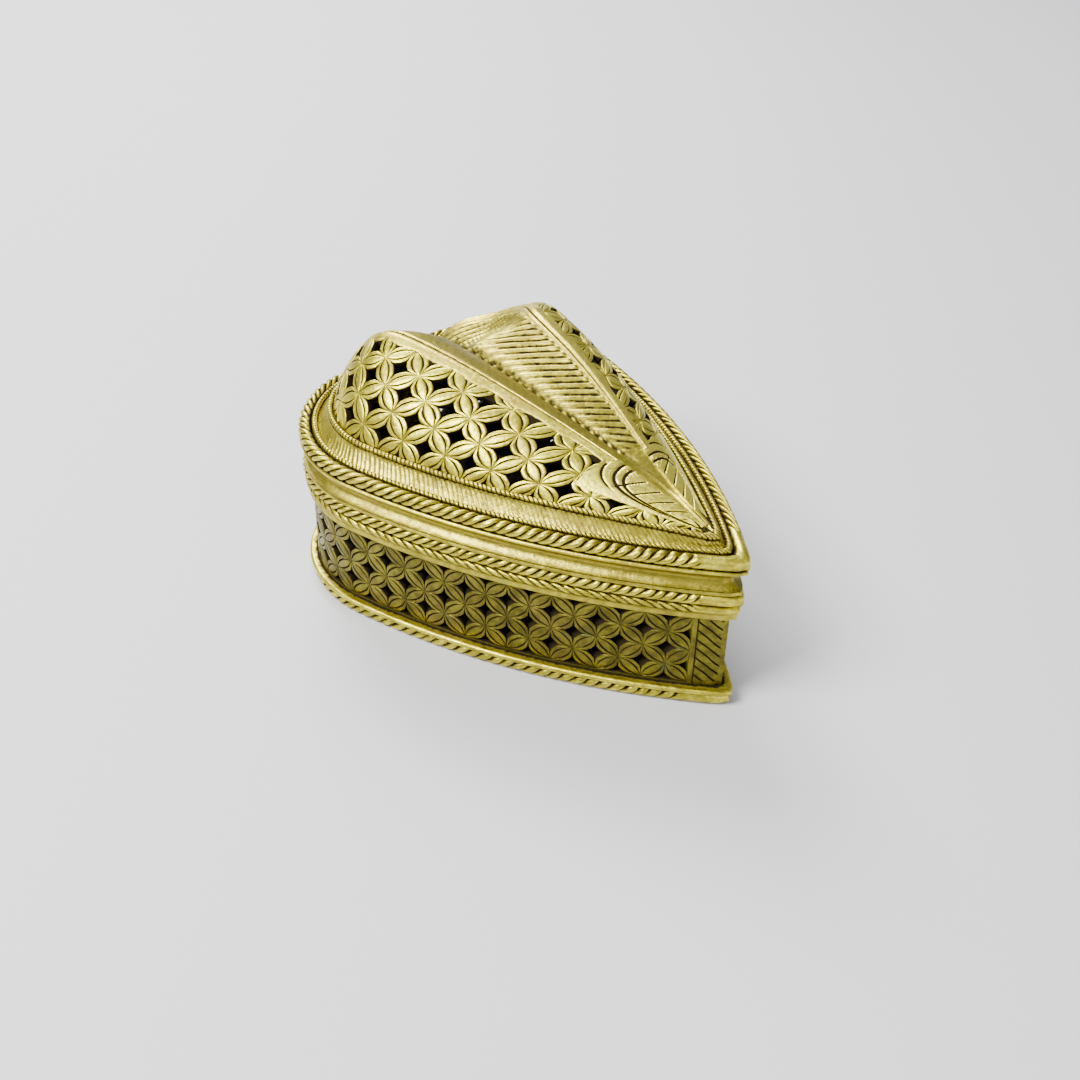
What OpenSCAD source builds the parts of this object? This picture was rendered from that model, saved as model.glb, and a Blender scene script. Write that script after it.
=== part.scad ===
// Heart-shaped trinket box in cast brass. The walls and the domed lid are pierced, the lid has two
// ridges with a ribbed valley between them, and it opens on a small barrel hinge in the cleft.
// Millimetres, +Z up. The box stands on Z = 0, the tip points to -Y, and X = 0 is the middle plane.

/* [Heart outline] */
// Radius of each long side, from the tip to the lobe
side_r = 152; // [148:1:156]
// Radius of each lobe
lobe_r = 25; // [24:0.5:26]
// Radius of the back of each lobe, beside the cleft
back_r = 12.6; // [12.4:0.1:13]
// Angle below the X axis at which the long side meets the lobe
side_turn = 11.3; // [10.5:0.1:12]

/* [Heights] */
// Top of the foot rope and of the floor plate
foot_z = 2.5; // [2.2:0.1:2.8]
// Bottom of the pierced wall
wall_z0 = 3.6; // [3.4:0.1:3.8]
// Top of the pierced wall
wall_z1 = 20.4; // [20:0.1:20.8]
// Parting plane between the box and the lid, and height of the hinge axis
part_z = 23.6; // [23.5:0.1:23.7]
// Top of the moulded edge of the lid, where the dome starts
dome_z = 36.5; // [36:0.1:37]
// Top of the two ridges
ridge_z = 52; // [50:0.5:54]

/* [Castings] */
// Thickness of the wall
wall_t = 1.4; // [1.2:0.1:1.6]
// Thickness of the dome
shell_t = 1.5; // [1.2:0.1:1.8]
// How far the wall stands in from the outermost moulding
wall_in = 2.0; // [1.8:0.1:2.2]

/* [Piercing] */
// Width of the solid post at the tip
tip_post_w = 7; // [6:0.5:8]
// Width of the solid post at the cleft
back_post_w = 6; // [5:0.5:7]
// Number of half cells along each wall
wall_cols = 26; // [22:2:28]
// Width of the bars between the holes of the wall
wall_bar = 2.1; // [1.8:0.1:2.4]
// Size of one cell of the dome, corner to corner
dome_cell = 9.2; // [9:0.1:10]
// Width of the bars between the holes of the dome
dome_bar = 2.6; // [2.4:0.1:3]

/* [Hinge] */
// Radius of the hinge barrel
barrel_r = 2.0; // [1.8:0.1:2.1]
// Length of the hinge barrel
barrel_w = 12; // [11:0.5:12]
// Radius of the hinge pin
pin_r = 0.8; // [0.7:0.1:0.9]
// Radial clearance of the pin in the lid's knuckle
pin_fit = 0.05; // [0.02:0.01:0.08]

/* [Hidden] */
$fn = 96;

brass = "#b59a45";
worn = "#cdb560";
dark = "#8f7a35";

// ---- outline of the heart -------------------------------------------------------------------
// The right half is three arcs, which meet smoothly: the long side, a quarter turn of the lobe and
// a quarter turn of its back, which ends at the cleft. In the lobe's own frame, centred on the lobe
// and turned by side_turn, their centres lie on the axes. An offset of the outline, negative
// inwards, only changes the radii, and turns round the cleft's corner.
side_off = side_r - lobe_r;
back_off = lobe_r - back_r;
lobe_x = back_r * cos(side_turn) - back_off * sin(side_turn);
side_dx = side_off * cos(side_turn);
side_dy = side_off * sin(side_turn);
tip_dy = side_dy - sqrt(side_r ^ 2 - (side_dx - lobe_x) ^ 2);
rear_dy = back_off * cos(side_turn) + back_r;
hinge_gap = 0.8;
// the lobes are placed so that the box is centred over the origin, its hinge barrel included
lobe_y = -(tip_dy + rear_dy + hinge_gap + barrel_r) / 2;
lobe_c = [lobe_x, lobe_y];
side_c = lobe_c + [-side_dx, side_dy];
back_c = lobe_c + back_off * [sin(side_turn), cos(side_turn)];
back_end = 180 - side_turn;
cleft_y = back_c.y + back_r * sin(side_turn);
hinge_y = lobe_y + rear_dy + hinge_gap;
far = 90;

function tip_angle(d) = -acos(-side_c.x / (side_r + d));
function on_circle(c, r, a) = [c.x + r * cos(a), c.y + r * sin(a), a];
function arc_length(r, a) = r * a * PI / 180;
function arc_angle(r, s) = s / r * 180 / PI;

// Lengths of the arcs at the offset d, and the point and normal angle at the length s from the tip
function side_len(d) = arc_length(side_r + d, -side_turn - tip_angle(d));
function lobe_len(d) = arc_length(lobe_r + d, 90);
function back_len(d, a) = arc_length(back_r + d, a - 90 + side_turn);
function outline(s, d) =
    s < side_len(d) ? on_circle(side_c, side_r + d, tip_angle(d) + arc_angle(side_r + d, s))
    : s < side_len(d) + lobe_len(d)
      ? on_circle(lobe_c, lobe_r + d, arc_angle(lobe_r + d, s - side_len(d)) - side_turn)
      : on_circle(back_c, back_r + d,
                  90 - side_turn + arc_angle(back_r + d, s - side_len(d) - lobe_len(d)));

// Moves a shape from the lobe's own frame to its place, and keeps the half right of X = 0
module lobe_frame() {
    intersection() {
        translate([lobe_x, lobe_y, 0]) rotate(-side_turn) children();
        translate([0, -far, -1]) cube([far, 2 * far, far]);
    }
}

// Sweeps of a section round the side, the lobe, the back and the cleft's corner, in the lobe's
// frame. In the section x is the offset from the outline, never positive, and y is the height.
module side_arc(start, stop = 0) {
    translate([-side_off, 0, 0]) rotate_extrude(start = start, angle = stop - start, $fn = 240)
        translate([side_r, 0]) children();
}

module lobe_arc() {
    rotate_extrude(angle = 90) translate([lobe_r, 0]) children();
}

module back_arc(start, stop) {
    translate([0, back_off, 0]) rotate_extrude(start = start, angle = stop - start)
        translate([back_r, 0]) children();
}

module cleft_arc() {
    turn = 90 - side_turn + 5;
    translate([-back_r, back_off, 0]) rotate_extrude(start = -turn, angle = turn, $fn = 48)
        mirror([1, 0]) children();
}

// Angle, in the lobe's frame, at the length s along the side from the tip. Angles at which one
// piece ends and the next begins are rounded, so that both get exactly the same face.
function tidy(a) = round(a * 100) / 100;
function side_start(s) = tidy(tip_angle(0) + side_turn + arc_angle(side_r, s));
past_tip = tidy(side_start(0) - 5);

module half_band() {
    lobe_frame() {
        side_arc(past_tip) children();
        lobe_arc() children();
        back_arc(90, 180) children();
        cleft_arc() children();
    }
}

module band() {
    half_band() children();
    mirror([1, 0, 0]) half_band() children();
}

module strip(d0, d1, z0, z1) {
    translate([d0, z0]) square([d1 - d0, z1 - z0]);
}

module wire(d, z, r) {
    translate([d, z]) circle(r, $fn = 32);
}

// Outer edge of a flat moulding, softened at its two corners
module soft_strip(d0, d1, z0, z1) {
    c = (z1 - z0) / 4;
    polygon([[d0, z0], [d1 - c, z0], [d1, z0 + c], [d1, z1 - c], [d1 - c, z1], [d0, z1]]);
}

// ---- box ------------------------------------------------------------------------------------
foot_rope_r = foot_z / 2;
foot_rope_d = -0.6 - foot_rope_r;
floor_d = foot_rope_d - foot_rope_r;
rim_rope_r = 0.8;
rim_rope_d = -0.6 - rim_rope_r;
collar_z = 21.8;
collar_in = -wall_in - wall_t - 0.4;

function half_heart(d, n) = let (total = side_len(d) + lobe_len(d) + back_len(d, back_end))
    [for (i = [0 : n]) let (p = outline(total * i / n, d)) [p.x, p.y]];

// The floor is one plate, so its edge is drawn as points along the outline
module base_plate() {
    cleft_r = -1.01 * floor_d;
    turn = [for (a = [20 : 15 : 80]) [cleft_r * cos(a), cleft_y - cleft_r * sin(a)]];
    color(dark) for (side = [0, 1]) mirror([side, 0, 0])
        linear_extrude(foot_z)
            polygon([each half_heart(floor_d, 60), each turn, [0, cleft_y - cleft_r]]);
}

module foot_rope() {
    color(worn) band() wire(foot_rope_d, foot_rope_r, foot_rope_r);
}

module foot_fillet() {
    color(brass) band() soft_strip(collar_in, -0.3, foot_z, wall_z0);
}

wall_mid = -wall_in - wall_t / 2;
wall_len = side_len(wall_mid) + lobe_len(wall_mid) + back_len(wall_mid, back_end);
wall_pitch = (wall_len - tip_post_w - back_post_w) / wall_cols;
wall_rows = 4;
wall_margin = 0.6;
row_h = (wall_z1 - wall_z0 - 2 * wall_margin) / wall_rows;
back_post_angle = 180 - tidy(arc_angle(back_r, back_post_w));

module wall_section() {
    strip(-wall_in - wall_t, -wall_in, wall_z0, wall_z1);
}

// Four-pointed hole between four petals, which reaches w and h from its middle
module star(w, h, pinch = 0.62) {
    polygon([for (i = [0 : 7]) let (k = i % 2 == 0 ? 1 : pinch * sqrt(0.5))
        [w * k * cos(45 * i), h * k * sin(45 * i)]]);
}

// part = 0 keeps the whole hole, 1 its upper half and -1 its lower half
module wall_hole(s, z, part) {
    p = outline(s, wall_mid);
    translate([p.x, p.y, z]) rotate([90, 0, p.z + 90])
        translate([0, 0, -wall_t]) linear_extrude(2 * wall_t)
            intersection() {
                star(wall_pitch - wall_bar / 2, row_h - wall_bar / 2);
                translate([-wall_pitch, part > 0 ? 0 : -2 * row_h])
                    square([2 * wall_pitch, part == 0 ? 4 * row_h : 2 * row_h]);
            }
}

module wall() {
    mid_z = (wall_z0 + wall_z1) / 2;
    difference() {
        lobe_frame() {
            side_arc(side_start(tip_post_w)) wall_section();
            lobe_arc() wall_section();
            back_arc(90, back_post_angle) wall_section();
        }
        for (i = [1 : wall_cols - 1]) {
            s = tip_post_w + i * wall_pitch;
            if (i % 2 == 0)
                for (row = [-1, 1]) wall_hole(s, mid_z + row * row_h, 0);
            else {
                wall_hole(s, mid_z, 0);
                for (row = [-1, 1]) wall_hole(s, mid_z + row * 2 * row_h, -row);
            }
        }
    }
}

module wall_left() { color(brass) mirror([1, 0, 0]) wall(); }
module wall_right() { color(brass) wall(); }

module tip_post() {
    color(worn) for (side = [0, 1]) mirror([side, 0, 0])
        lobe_frame() side_arc(past_tip, side_start(tip_post_w)) wall_section();
}

module back_post() {
    color(brass) for (side = [0, 1]) mirror([side, 0, 0])
        lobe_frame() {
            back_arc(back_post_angle, 180) wall_section();
            cleft_arc() wall_section();
        }
}

module rim_collar() {
    color(brass) band() {
        strip(collar_in, -1.0, wall_z1, collar_z);
        strip(collar_in, rim_rope_d - rim_rope_r, collar_z, part_z - 0.1);
    }
}

module rim_rope() {
    color(worn) band() wire(rim_rope_d, collar_z + rim_rope_r, rim_rope_r);
}

// ---- lid mouldings --------------------------------------------------------------------------
low_rope_r = 1.2;
low_rope_d = -0.3 - low_rope_r;
low_rope_z = part_z + 0.1 + low_rope_r;
seat_z0 = low_rope_z + low_rope_r;
seat_z1 = seat_z0 + 1.0;
lip_z0 = 31.2;
lip_z1 = 31.9;
up_rope_r = 1.3;
up_rope_d = -0.05 - up_rope_r;
up_rope_z = lip_z1 + up_rope_r;
bead_r = 0.5;
shoulder_in = -8.6;

module lid_lower_rope() {
    color(worn) band() wire(low_rope_d, low_rope_z, low_rope_r);
}

module lid_seat_band() {
    color(brass) band() {
        strip(collar_in, low_rope_d - low_rope_r, part_z + 0.1, seat_z0);
        soft_strip(collar_in, -0.7, seat_z0, seat_z1);
    }
}

// The hollow moulding is a straight band with a wide round groove turned out of its face
module lid_scotia_band() {
    groove_r = 3.9;
    color(brass) band() difference() {
        strip(collar_in, -0.8, seat_z1, lip_z0);
        translate([-2.4 + groove_r, (seat_z1 + lip_z0) / 2 - 0.3]) circle(groove_r, $fn = 64);
    }
}

module lid_flange() {
    color(brass) band() strip(shoulder_in, -0.2, lip_z0, lip_z1);
}

module lid_upper_rope() {
    color(worn) band() wire(up_rope_d, up_rope_z, up_rope_r);
}

module lower_bead_wire() {
    color(worn) band() wire(-3.25, 34.1, bead_r);
}

module shoulder_band() {
    color(brass) band()
        polygon([[shoulder_in, lip_z1], [up_rope_d - up_rope_r, lip_z1], [-2.85, 33.6],
                 [-3.7, 33.6], [-4.6, 34.4], [-5.8, 35.9], [-6.0, dome_z], [shoulder_in, dome_z]]);
}

module upper_bead_wire() {
    color(worn) band() wire(-6.45, dome_z + bead_r, bead_r);
}

// ---- dome -----------------------------------------------------------------------------------
// A point of the right half of the dome has u from 0 at the tip to 1 at the back, w from 0 at the
// rim through 1 on the ridge to 2 in the valley, and k from 0 outside to 1 inside. Past 2 the
// points go up the left side of the valley.
rim_d = -7.0;
end_turn = 10;
function rim_len(d) = side_len(d) + lobe_len(d) + back_len(d, 90 - end_turn);
function rim_at(u, k) = let (d = rim_d - shell_t * k, p = outline(u * rim_len(d), d))
    [p.x, p.y, dome_z];
function tip_y(d) = side_c.y + (side_r + d) * sin(tip_angle(d));
function bezier(p, t) = p[0] * (1 - t) ^ 3 + p[1] * 3 * t * (1 - t) ^ 2
    + p[2] * 3 * t ^ 2 * (1 - t) + p[3] * t ^ 3;

drop = 1.2 * shell_t;
front_share = 0.78;
function ridge_end(k) = let (r = back_r + rim_d - shell_t * k, p = on_circle(back_c, r, 90 + end_turn))
    [p.x, p.y, dome_z];
function ridge_at(u, k) = let (peak = [13, 26.7, ridge_z - drop * k])
    u < front_share
    ? bezier([[0, tip_y(rim_d - shell_t * k) + 0.9 - 0.2 * k, dome_z + 0.9 - 0.5 * k],
              [2.2, -26.5, ridge_z - 11 - drop * k], [8.3, 7.4, ridge_z - 1.2 - drop * k], peak],
             u / front_share)
    : bezier([peak, [14.2, 32.3 - 0.5 * k, ridge_z + 0.5 - drop * k],
              [12.6, 40.6 - shell_t * k, ridge_z - 6 - 0.5 * k], ridge_end(k)],
             (u - front_share) / (1 - front_share));
function valley_at(u, k) = let (low = [0, 20.7, ridge_z - 5.5 - drop * k])
    u < front_share
    ? bezier([[0, tip_y(rim_d - shell_t * k) + 1.6 - 0.4 * k, dome_z + 1.5 - 0.8 * k],
              [0, -26.5, ridge_z - 8.8 - drop * k], [0, 4, ridge_z - 8 - drop * k], low],
             u / front_share)
    : bezier([low, [0, 25, ridge_z - 4.8 - drop * k], [0, 31.5 - shell_t * k, ridge_z - 8 - 0.5 * k],
              [0, cleft_y + rim_d - shell_t * k, dome_z]],
             (u - front_share) / (1 - front_share));

function outer_slope(u, v, k) = let (a = rim_at(u, k), c = ridge_at(u, k),
        b = [a.x + 0.28 * (c.x - a.x), a.y + 0.28 * (c.y - a.y), a.z + 0.72 * (c.z - a.z)])
    a * (1 - v) ^ 2 + b * 2 * v * (1 - v) + c * v ^ 2;
// Rim of the dome round the cleft's corner, for v from 0 at X = 0 to 1 at the back of the ridge.
// The slope of the valley comes down to it at the back.
function back_rim(v, k) = let (r = shell_t * k - rim_d + 0.1 * (1 - v),
        p = v < 0.5 ? on_circle([0, cleft_y], r, 2 * v * (90 - side_turn) - 90)
          : on_circle(back_c, back_r - r, back_end - (2 * v - 1) * (back_end - 90 - end_turn)))
    [p.x, p.y, dome_z];
function valley_slope(u, v, k) = let (a = valley_at(u, k), b = ridge_at(u, k), h = b.z - a.z)
    bezier([a, a + [0.35 * b.x, 0, 0.1 * h], b - [0.42 * b.x, 0, 0.45 * h], b], v);
function inner_slope(u, v, k) = let (t = max(0, u - front_share) / (1 - front_share))
    valley_slope(u, v, k) + t ^ 2 * (3 - 2 * t) * (back_rim(v, k) - valley_slope(1, v, k));
function right_at(u, w, k) = w <= 1 ? outer_slope(u, w, k) : inner_slope(u, 2 - w, k);
function dome_at(u, w, k) = w <= 2 ? right_at(u, w, k)
    : let (p = right_at(u, 4 - w, k)) [-p.x, p.y, p.z];

// Closed plate over a grid of the dome, from the outside to the inside surface
module dome_plate(us, ws) {
    nu = len(us);
    nw = len(ws);
    sheet = nu * nw;
    function id(i, j, k) = k * sheet + i * nw + j;
    function quad(a, b, c, d) = [[a, b, c], [a, c, d]];
    points = [for (k = [0, 1]) for (u = us) for (w = ws) dome_at(u, w, k)];
    outside = [for (i = [0 : nu - 2]) for (j = [0 : nw - 2])
        each quad(id(i, j, 0), id(i, j + 1, 0), id(i + 1, j + 1, 0), id(i + 1, j, 0))];
    inside = [for (i = [0 : nu - 2]) for (j = [0 : nw - 2])
        each quad(id(i, j, 1), id(i + 1, j, 1), id(i + 1, j + 1, 1), id(i, j + 1, 1))];
    low_edge = [for (i = [0 : nu - 2])
        each quad(id(i, 0, 0), id(i + 1, 0, 0), id(i + 1, 0, 1), id(i, 0, 1))];
    high_edge = [for (i = [0 : nu - 2]) let (j = nw - 1)
        each quad(id(i, j, 0), id(i, j, 1), id(i + 1, j, 1), id(i + 1, j, 0))];
    tip_edge = [for (j = [0 : nw - 2])
        each quad(id(0, j, 0), id(0, j, 1), id(0, j + 1, 1), id(0, j + 1, 0))];
    back_edge = [for (j = [0 : nw - 2]) let (i = nu - 1)
        each quad(id(i, j, 0), id(i, j + 1, 0), id(i, j + 1, 1), id(i, j, 1))];
    polyhedron(points, concat(outside, inside, low_edge, high_edge, tip_edge, back_edge));
}

steps = 40;
leaf_steps = 11;
leaf_u = leaf_steps / steps;
grille_w = 0.86;
leaf_w = grille_w / 2;
valley_us = [for (i = [1 : steps]) i / steps];
leaf_us = [for (i = [0 : leaf_steps]) i / steps];
back_us = [for (i = [leaf_steps : steps]) i / steps];
grille_ws = [for (j = [0 : 8]) grille_w * j / 8];
low_ws = [for (j = [0 : 4]) grille_w * j / 8];
ridge_ws = [grille_w, 0.93, 1, 1.1, 1.2];
leaf_ws = [for (j = [4 : 7]) grille_w * j / 8, each ridge_ws];
valley_ws = [for (j = [0 : 16]) 1.2 + 0.1 * j];

// One diamond hole of the dome, cut through from outside to inside
module dome_hole(u, w, slope_len) {
    reach = (dome_cell - dome_bar) / 2;
    du = reach / rim_len(rim_d);
    dw = reach / slope_len;
    corners = [[u - du, w], [u, w + dw], [u + du, w], [u, w - dw]];
    hull() polyhedron([for (k = [-1, 2]) for (c = corners) dome_at(c.x, c.y, k)],
        [[0, 1, 2], [0, 2, 3], [4, 6, 5], [4, 7, 6], [0, 4, 5], [0, 5, 1],
         [1, 5, 6], [1, 6, 2], [2, 6, 7], [2, 7, 3], [3, 7, 4], [3, 4, 0]]);
}

module dome_grille() {
    cols = floor(2 * rim_len(rim_d) / dome_cell);
    difference() {
        union() {
            dome_plate(back_us, grille_ws);
            dome_plate(leaf_us, low_ws);
        }
        for (i = [2 : cols - 1]) {
            u = i / cols;
            slope_len = 1.06 * norm(ridge_at(u, 0) - rim_at(u, 0));
            top = u < leaf_u + 0.03 ? leaf_w : grille_w;
            for (j = [1 : 6]) {
                w = (j * dome_cell / 2 - 0.6) / slope_len;
                if ((i + j) % 2 == 0 && w + dome_cell / 2 / slope_len < top + 0.06)
                    dome_hole(u, w, slope_len);
            }
        }
    }
}

module dome_grille_left() { color(brass) mirror([1, 0, 0]) dome_grille(); }
module dome_grille_right() { color(brass) dome_grille(); }
module ridge_left() { color(worn) mirror([1, 0, 0]) dome_plate(back_us, ridge_ws); }
module ridge_right() { color(worn) dome_plate(back_us, ridge_ws); }
module tip_leaf_left() { color(worn) mirror([1, 0, 0]) dome_plate(leaf_us, leaf_ws); }
module tip_leaf_right() { color(worn) dome_plate(leaf_us, leaf_ws); }
module valley_panel() { color(dark) dome_plate(valley_us, valley_ws); }

// ---- hinge ----------------------------------------------------------------------------------
knuckle = 2.0;
side_gap = 0.1;
lug_z0 = 12;
head_r = 1.3;
head_t = 0.6;

module barrel(x0, x1, r) {
    translate([x0, hinge_y, part_z]) rotate([0, 90, 0]) cylinder(r = r, h = x1 - x0);
}

module block(x, y0, y1, z0, z1) {
    translate([-x, y0, z0]) cube([2 * x, y1 - y0, z1 - z0]);
}

// Fills the cleft behind the wall and carries the two outer knuckles
module hinge_lug_box() {
    notch_z = part_z - barrel_r - 0.3;
    color(worn) difference() {
        union() {
            block(barrel_w / 2, cleft_y - 4, hinge_y, lug_z0, part_z - 0.1);
            barrel(-barrel_w / 2, barrel_w / 2, barrel_r);
        }
        band() strip(-12, -wall_in, lug_z0 - 1, wall_z1);
        band() strip(-12, 0, wall_z1, part_z + 3);
        block(knuckle + side_gap, cleft_y - 5, hinge_y + 5, notch_z, part_z + 5);
        barrel(-barrel_w, barrel_w, pin_r);
    }
}

// The lid's lug holds the middle knuckle and meets the lid under its lip
module hinge_lug_lid() {
    color(worn) difference() {
        union() {
            block(knuckle, cleft_y - 2, hinge_y, part_z + 0.3, lip_z0);
            barrel(-knuckle, knuckle, barrel_r);
        }
        band() strip(-12, 0, part_z - 4, seat_z0);
        band() strip(-12, -0.7, seat_z0 - 0.01, seat_z1);
        band() strip(-12, -0.6, seat_z1 - 0.01, lip_z0 + 1);
        barrel(-barrel_w, barrel_w, pin_r + pin_fit);
    }
}

module hinge_pin() {
    end = barrel_w / 2;
    color(worn) union() {
        barrel(-end, end, pin_r);
        barrel(-end - head_t, -end, head_r);
        barrel(end, end + head_t, head_r);
    }
}

base_plate();
foot_rope();
foot_fillet();
wall_left();
wall_right();
tip_post();
back_post();
rim_collar();
rim_rope();
hinge_lug_box();
hinge_pin();
lid_lower_rope();
lid_seat_band();
lid_scotia_band();
lid_flange();
lid_upper_rope();
lower_bead_wire();
shoulder_band();
upper_bead_wire();
dome_grille_left();
dome_grille_right();
ridge_left();
ridge_right();
tip_leaf_left();
tip_leaf_right();
valley_panel();
hinge_lug_lid();
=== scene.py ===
"""Heart-shaped trinket box of cast brass, with pierced walls, a pierced dome and a ribbed valley.

Lengths in the drawing functions are millimetres. They become metres when a piece is made.
"""

import math

import bpy
import numpy as np
from mathutils import Matrix, Vector


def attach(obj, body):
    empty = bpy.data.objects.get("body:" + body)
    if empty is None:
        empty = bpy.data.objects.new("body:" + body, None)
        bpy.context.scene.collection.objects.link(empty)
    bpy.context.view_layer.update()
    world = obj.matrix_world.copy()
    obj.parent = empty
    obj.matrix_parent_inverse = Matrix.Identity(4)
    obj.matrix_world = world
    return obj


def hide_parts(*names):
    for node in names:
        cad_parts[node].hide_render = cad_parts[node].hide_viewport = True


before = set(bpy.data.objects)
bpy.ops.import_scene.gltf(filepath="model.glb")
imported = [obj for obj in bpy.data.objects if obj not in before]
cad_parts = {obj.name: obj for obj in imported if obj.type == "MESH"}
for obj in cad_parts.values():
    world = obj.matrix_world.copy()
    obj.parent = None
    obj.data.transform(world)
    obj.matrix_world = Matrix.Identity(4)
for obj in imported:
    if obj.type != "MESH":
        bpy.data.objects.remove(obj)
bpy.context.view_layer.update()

MM = 0.001
MERGE = 0.004 * MM

# ---- outline of the heart: three arcs a side, and the turn round the cleft's corner -------------
SIDE_R, LOBE_R, BACK_R = 152.0, 25.0, 12.6
SIDE_TURN = math.radians(11.3)
QUARTER = math.pi / 2
LOBE_C = np.array([BACK_R * math.cos(SIDE_TURN) - (LOBE_R - BACK_R) * math.sin(SIDE_TURN), 23.70])
SIDE_C = LOBE_C + (SIDE_R - LOBE_R) * np.array([-math.cos(SIDE_TURN), math.sin(SIDE_TURN)])
BACK_C = LOBE_C + (LOBE_R - BACK_R) * np.array([math.sin(SIDE_TURN), math.cos(SIDE_TURN)])
CLEFT_Y = BACK_C[1] + BACK_R * math.sin(SIDE_TURN)
WALL_Z0, WALL_Z1 = 3.6, 20.4
DOME_Z, RIDGE_Z = 36.5, 52.0
RIM_D = -7.0
TIP_BLUNT = 0.9
FRONT_SHARE = 0.78
TIP_SPREAD = 1.7


def smooth(a, b, x):
    t = np.clip((x - a) / (b - a), 0, 1)
    return t * t * (3 - 2 * t)


def tip_angle(d):
    return -np.arccos(-SIDE_C[0] / (SIDE_R + d))


def arc_lengths(d):
    """Lengths of the side, lobe, back and cleft arcs at the offset d, negative inwards."""
    return ((SIDE_R + d) * (-SIDE_TURN - tip_angle(d)), (LOBE_R + d) * QUARTER,
            (BACK_R + d) * QUARTER, -d * (QUARTER - SIDE_TURN))


def heart(q, d, ref):
    """x and y at the signed length q from the tip, measured along the offset ref, moved to offset d."""
    q, d, ref = np.broadcast_arrays(np.asarray(q, float), np.asarray(d, float), np.asarray(ref, float))
    a = np.abs(q)
    l1, l2, l3, l4 = arc_lengths(ref)
    tip = tip_angle(d)
    side = tip + np.clip(a / l1, 0, 1) * (-SIDE_TURN - tip)
    lobe = -SIDE_TURN + np.clip((a - l1) / l2, 0, 1) * QUARTER
    back = QUARTER - SIDE_TURN + np.clip((a - l1 - l2) / l3, 0, 1) * QUARTER
    turn = -SIDE_TURN - np.clip((a - l1 - l2 - l3) / np.maximum(l4, 1e-6), 0, 1) * (QUARTER - SIDE_TURN)
    zone = (a > l1).astype(int) + (a > l1 + l2) + (a > l1 + l2 + l3)
    x = np.choose(zone, [SIDE_C[0] + (SIDE_R + d) * np.cos(side), LOBE_C[0] + (LOBE_R + d) * np.cos(lobe),
                         BACK_C[0] + (BACK_R + d) * np.cos(back), -d * np.cos(turn)])
    y = np.choose(zone, [SIDE_C[1] + (SIDE_R + d) * np.sin(side), LOBE_C[1] + (LOBE_R + d) * np.sin(lobe),
                         BACK_C[1] + (BACK_R + d) * np.sin(back), CLEFT_Y - d * np.sin(turn)])
    return np.where(q < 0, -x, x), y + TIP_BLUNT * np.exp(-(a / TIP_SPREAD) ** 2)


# ---- making a piece from its grid of points ----------------------------------------------------
def finish_piece(ob, body, material, nodes, smooth_angle=40):
    """Closes the mesh, smooths it, gives it its finish, and says what it rides on and replaces."""
    bpy.ops.object.select_all(action="DESELECT")
    bpy.context.view_layer.objects.active = ob
    ob.select_set(True)
    bpy.ops.object.mode_set(mode="EDIT")
    bpy.ops.mesh.select_all(action="SELECT")
    bpy.ops.mesh.remove_doubles(threshold=MERGE)
    bpy.ops.mesh.dissolve_degenerate(threshold=MERGE / 2)
    bpy.ops.mesh.normals_make_consistent(inside=False)
    bpy.ops.object.mode_set(mode="OBJECT")
    bpy.ops.object.shade_smooth_by_angle(angle=math.radians(smooth_angle))
    ob.select_set(False)
    ob.data.materials.clear()
    ob.data.materials.append(material)
    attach(ob, body)
    if nodes:
        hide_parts(*nodes)
    return ob


def mesh_object(name, points, faces, groove):
    """A mesh from millimetre points, with an attribute that says how deep each point lies in a groove and
    where shade is painted dark.
    """
    mesh = bpy.data.meshes.new(name)
    mesh.from_pydata((np.asarray(points, float) * MM).tolist(), [], faces)
    mesh.attributes.new("groove", "FLOAT", "POINT").data.foreach_set("value", np.asarray(groove, np.float32))
    ob = bpy.data.objects.new(name, mesh)
    bpy.context.scene.collection.objects.link(ob)
    return ob


def ring_faces(n, m):
    i, j = np.meshgrid(np.arange(n), np.arange(m), indexing="ij")
    i2, j2 = (i + 1) % n, (j + 1) % m
    return np.stack([i * m + j, i2 * m + j, i2 * m + j2, i * m + j2], -1).reshape(-1, 4).tolist()


def ring(name, ref, step, section, m, drawn=False):
    """A moulding all round the heart. section(q, v) gives the offset, the height and the groove value, which
    also paints shade.
    """
    half = sum(arc_lengths(ref))
    n = 2 * round(half / step)
    q = -half + 2 * half * np.arange(n) / n
    v = np.arange(m) / m
    Q, V = np.meshgrid(q, v, indexing="ij")
    d, z, g = section(Q, V)
    x, y = heart(Q, d, ref)
    p = np.stack([x, y, z + 0 * x], -1)
    p = drawn_to_tip(p) if drawn else p
    return mesh_object(name, p.reshape(-1, 3), ring_faces(n, m), (g + 0 * x).reshape(-1))


def profile(points):
    """A closed section through points (d, z, groove value), and how many points it has. High groove values
    where parts meet paint shade there.
    """
    pts = np.array(points, float)
    k = len(pts)

    def section(q, v):
        i = np.round(v * k).astype(int) % k
        return pts[i, 0], pts[i, 1], pts[i, 2]
    return section, k


def wander(q, seed, size):
    """A slow, repeatable wobble along a hand-finished moulding."""
    r = np.random.default_rng(seed)
    out = 0 * q
    for length in (5.3, 8.9, 14.7, 23.1):
        out = out + np.sin(q * 2 * math.pi / length + r.uniform(0, 6.28)) * r.uniform(0.5, 1)
    return out * size / 2.5


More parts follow.
